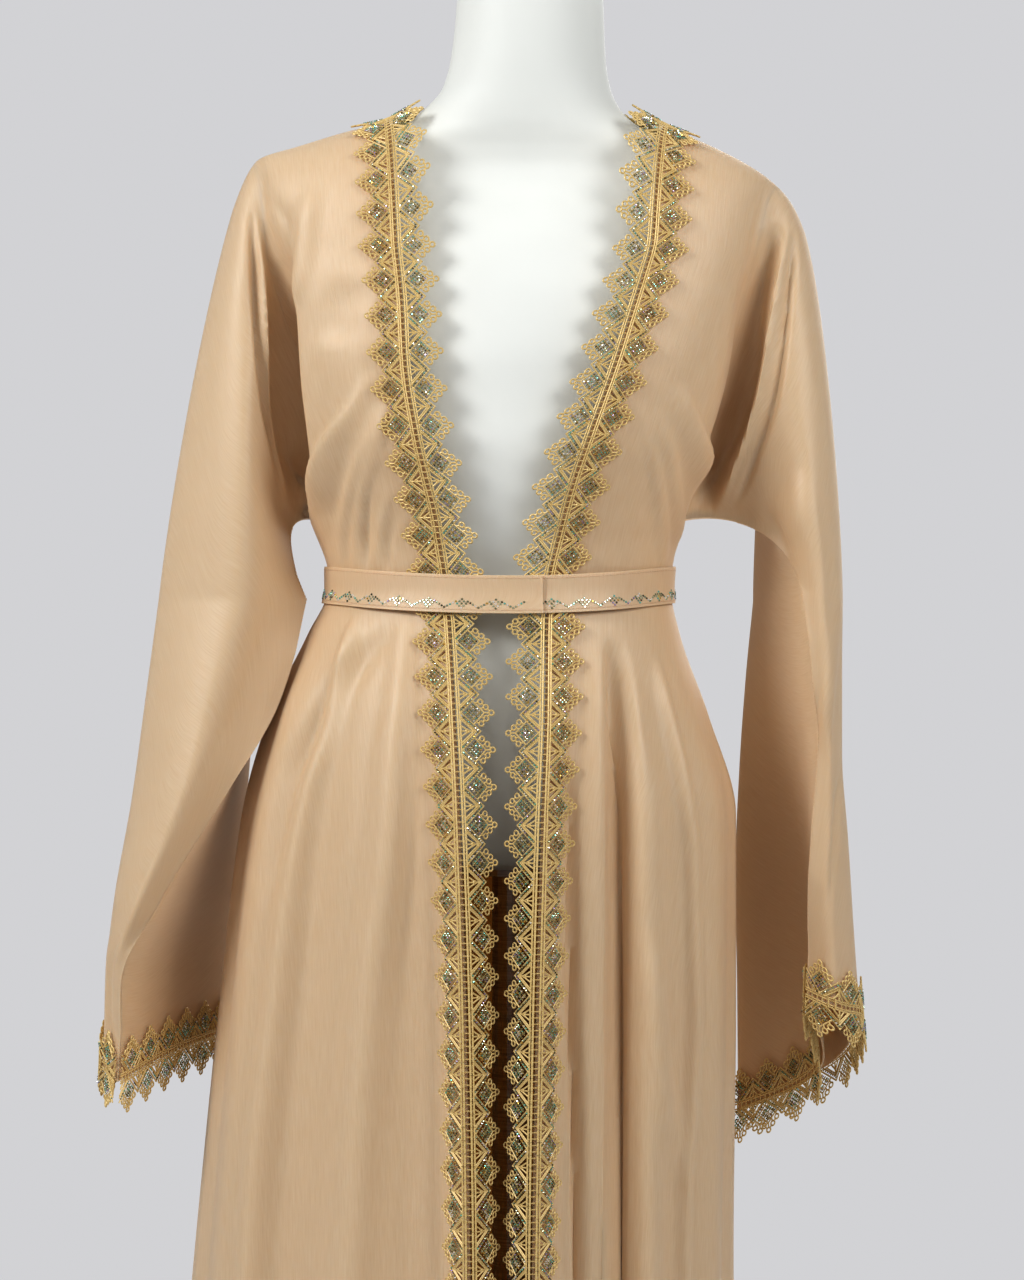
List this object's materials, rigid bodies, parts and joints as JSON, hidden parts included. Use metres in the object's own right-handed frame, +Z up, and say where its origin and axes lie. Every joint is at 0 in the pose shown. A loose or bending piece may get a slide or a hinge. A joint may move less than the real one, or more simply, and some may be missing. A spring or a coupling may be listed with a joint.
{
  "type": "abaya cloak on a dress form",
  "caption": "Open-front long cloak with wide sleeves, lace edging on fronts, neck and cuffs and a wrapped belt, shown on a limbless dress form with a round base.",
  "frame": {"origin": "centre of the stand's underside, on the floor", "axes": "+Z up, -Y the front of the garment, +X the wearer's left"},
  "size_m": [0.6116, 0.5086, 1.578],
  "materials": {
    "crepe": "peach-gold satin-backed crepe with a fine crinkle and a soft sheen",
    "lace": "gold corded guipure lace set with small faceted stones",
    "form": "smooth white satin",
    "stand": "brushed"
  },
  "bodies": {
    "root": {"front_right": "crepe", "front_left": "crepe", "back": "crepe", "sleeve_right": "crepe", "sleeve_left": "crepe", "belt": "crepe", "lace_front_right": "lace", "lace_front_left": "lace", "lace_neck": "lace", "lace_cuff_right": "lace", "lace_cuff_left": "lace", "form": "form", "stand_pole": "stand", "stand_base": "stand"}
  },
  "joints": []
}
